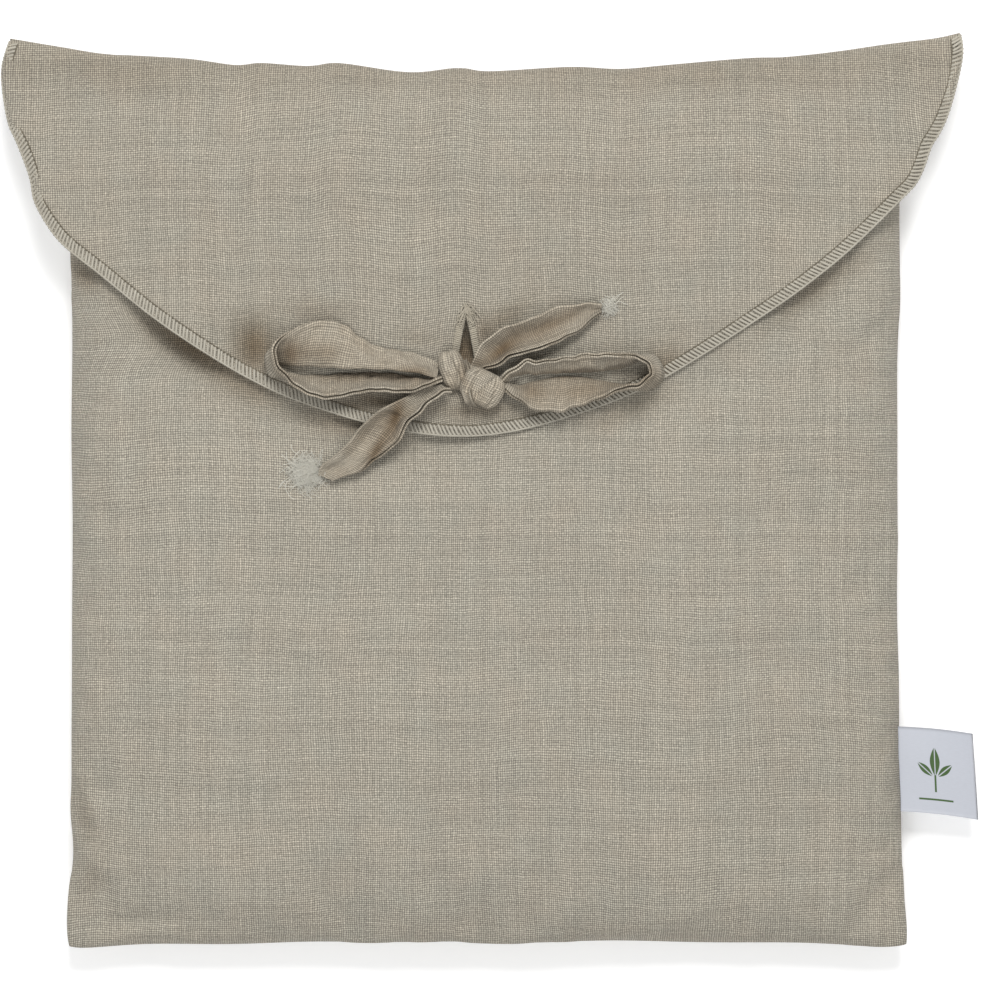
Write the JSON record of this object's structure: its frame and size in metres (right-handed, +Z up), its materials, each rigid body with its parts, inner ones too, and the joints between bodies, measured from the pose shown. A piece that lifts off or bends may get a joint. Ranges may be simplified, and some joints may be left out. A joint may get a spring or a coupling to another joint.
{
  "type": "seat cushion",
  "caption": "Thin square seat cushion in an envelope cover, with a rounded flap closed by tape ties in a bow through a stitched slit, and a side label.",
  "frame": {"origin": "middle of the flat underside that the cushion lies on", "axes": "+Z up out of the front, which carries the flap and the bow; +Y from the bottom seam to the mouth and the flap's fold; +X towards the side with the label"},
  "size_m": [0.4073, 0.3832, 0.0609],
  "materials": {
    "linen": "matte plain weave with slubs",
    "linen_thread": "matte sewing thread",
    "linen_frayed": "loose fibres",
    "calico": "matte fine plain weave",
    "wadding": "matte fibre wadding",
    "satin": "soft sheen woven satin"
  },
  "bodies": {
    "cushion": {"back_panel": "linen", "front_panel": "linen", "mouth_hem": "linen", "left_seam": "linen_thread", "right_seam": "linen_thread", "bottom_seam": "linen_thread", "insert_core": "wadding", "insert_case_top": "calico", "insert_case_bottom": "calico", "tie_roots": "linen", "anchor_stitching": "linen_thread"},
    "flap": {"flap_panel": "linen", "flap_overlock": "linen_thread", "slit_stitching": "linen_thread"},
    "bow": {"bow_knot": "linen", "bow_loop_left": "linen", "bow_loop_right": "linen", "tie_tail_upper": "linen", "tie_tail_lower": "linen", "frayed_end_upper": "linen_frayed", "frayed_end_lower": "linen_frayed"},
    "label": {"label": "satin"}
  },
  "joints": [
    {"name": "flap_fold", "type": "hinge", "parent": "cushion", "child": "flap", "pos_m": [0, 0.1915, 0.01715], "axis": [-1, 0, 0], "range_deg": [0, 160]},
    {"name": "bow_lift", "type": "slide", "parent": "flap", "child": "bow", "axis": [0, 0, 1], "range_m": [0, 0.015]},
    {"name": "label_flip", "type": "hinge", "parent": "cushion", "child": "label", "pos_m": [0.17429, -0.114, 0.017], "axis": [0, -1, 0], "range_deg": [-30, 75], "stiffness_Nm_per_rad": 0.002}
  ]
}
